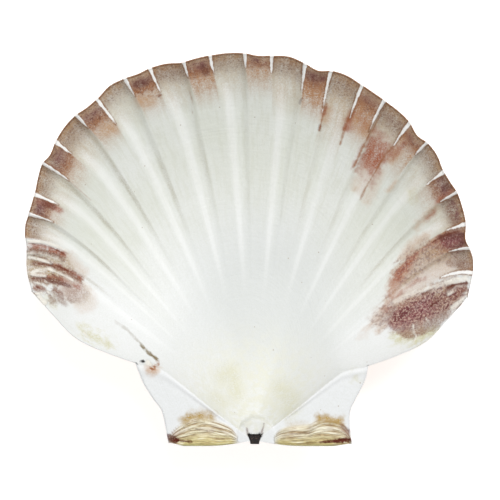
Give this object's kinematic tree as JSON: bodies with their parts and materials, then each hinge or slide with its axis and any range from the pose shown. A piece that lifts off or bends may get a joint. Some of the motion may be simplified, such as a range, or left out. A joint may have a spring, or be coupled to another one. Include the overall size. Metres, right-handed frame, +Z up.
{
  "type": "scallop shell",
  "caption": "One cupped scallop valve lying hollow side up: a ribbed fan with a scalloped margin, two ears, a straight hinge and a dried ligament remnant.",
  "frame": {"origin": "middle of the valve's outline seen from above, on the surface that it rests on", "axes": "+Z up, out of the hollow; +Y from the hinge to the far margin; +X to the right with the hinge nearest"},
  "size_m": [0.1208, 0.106, 0.0271],
  "materials": {
    "shell": "smooth porcelain white inside with reddish brown stains along the margin, satin ribbed outside",
    "ligament": "dried dark brown, slightly glossy"
  },
  "bodies": {
    "root": {"scallop_valve": "shell", "hinge_ligament": "ligament"}
  },
  "joints": []
}
